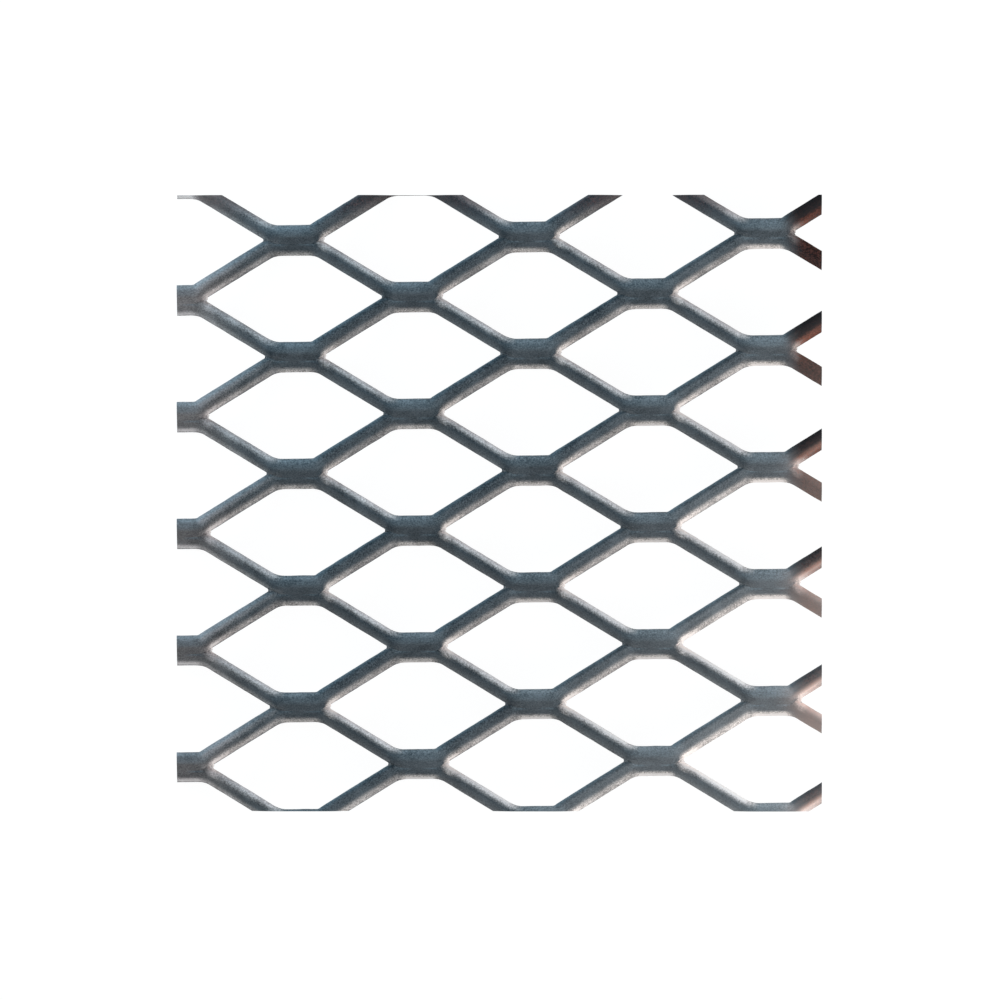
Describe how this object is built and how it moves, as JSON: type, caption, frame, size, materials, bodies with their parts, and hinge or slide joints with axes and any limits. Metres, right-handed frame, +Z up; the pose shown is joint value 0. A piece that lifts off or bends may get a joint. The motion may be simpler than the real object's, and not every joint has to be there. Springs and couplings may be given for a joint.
{
  "type": "expanded metal sheet",
  "caption": "Raised expanded metal sheet: dark steel plate slit and stretched into diamond openings, its strands standing on edge, cut to a small rectangle with open sheared edges.",
  "frame": {"origin": "middle of the sheet's rectangular outline, on the surface that the sheet lies on", "axes": "+X along the wider side and nearly along the long way of the diamonds, +Y along the short way, +Z up out of the sheet"},
  "size_m": [0.11, 0.1046, 0.0086],
  "materials": {
    "mill_steel": "dark blue-grey mill scale, satin, with paler rough sheared edges and a little rust at the right-hand edge"
  },
  "bodies": {
    "root": {"expanded_sheet": "mill_steel"}
  },
  "joints": []
}
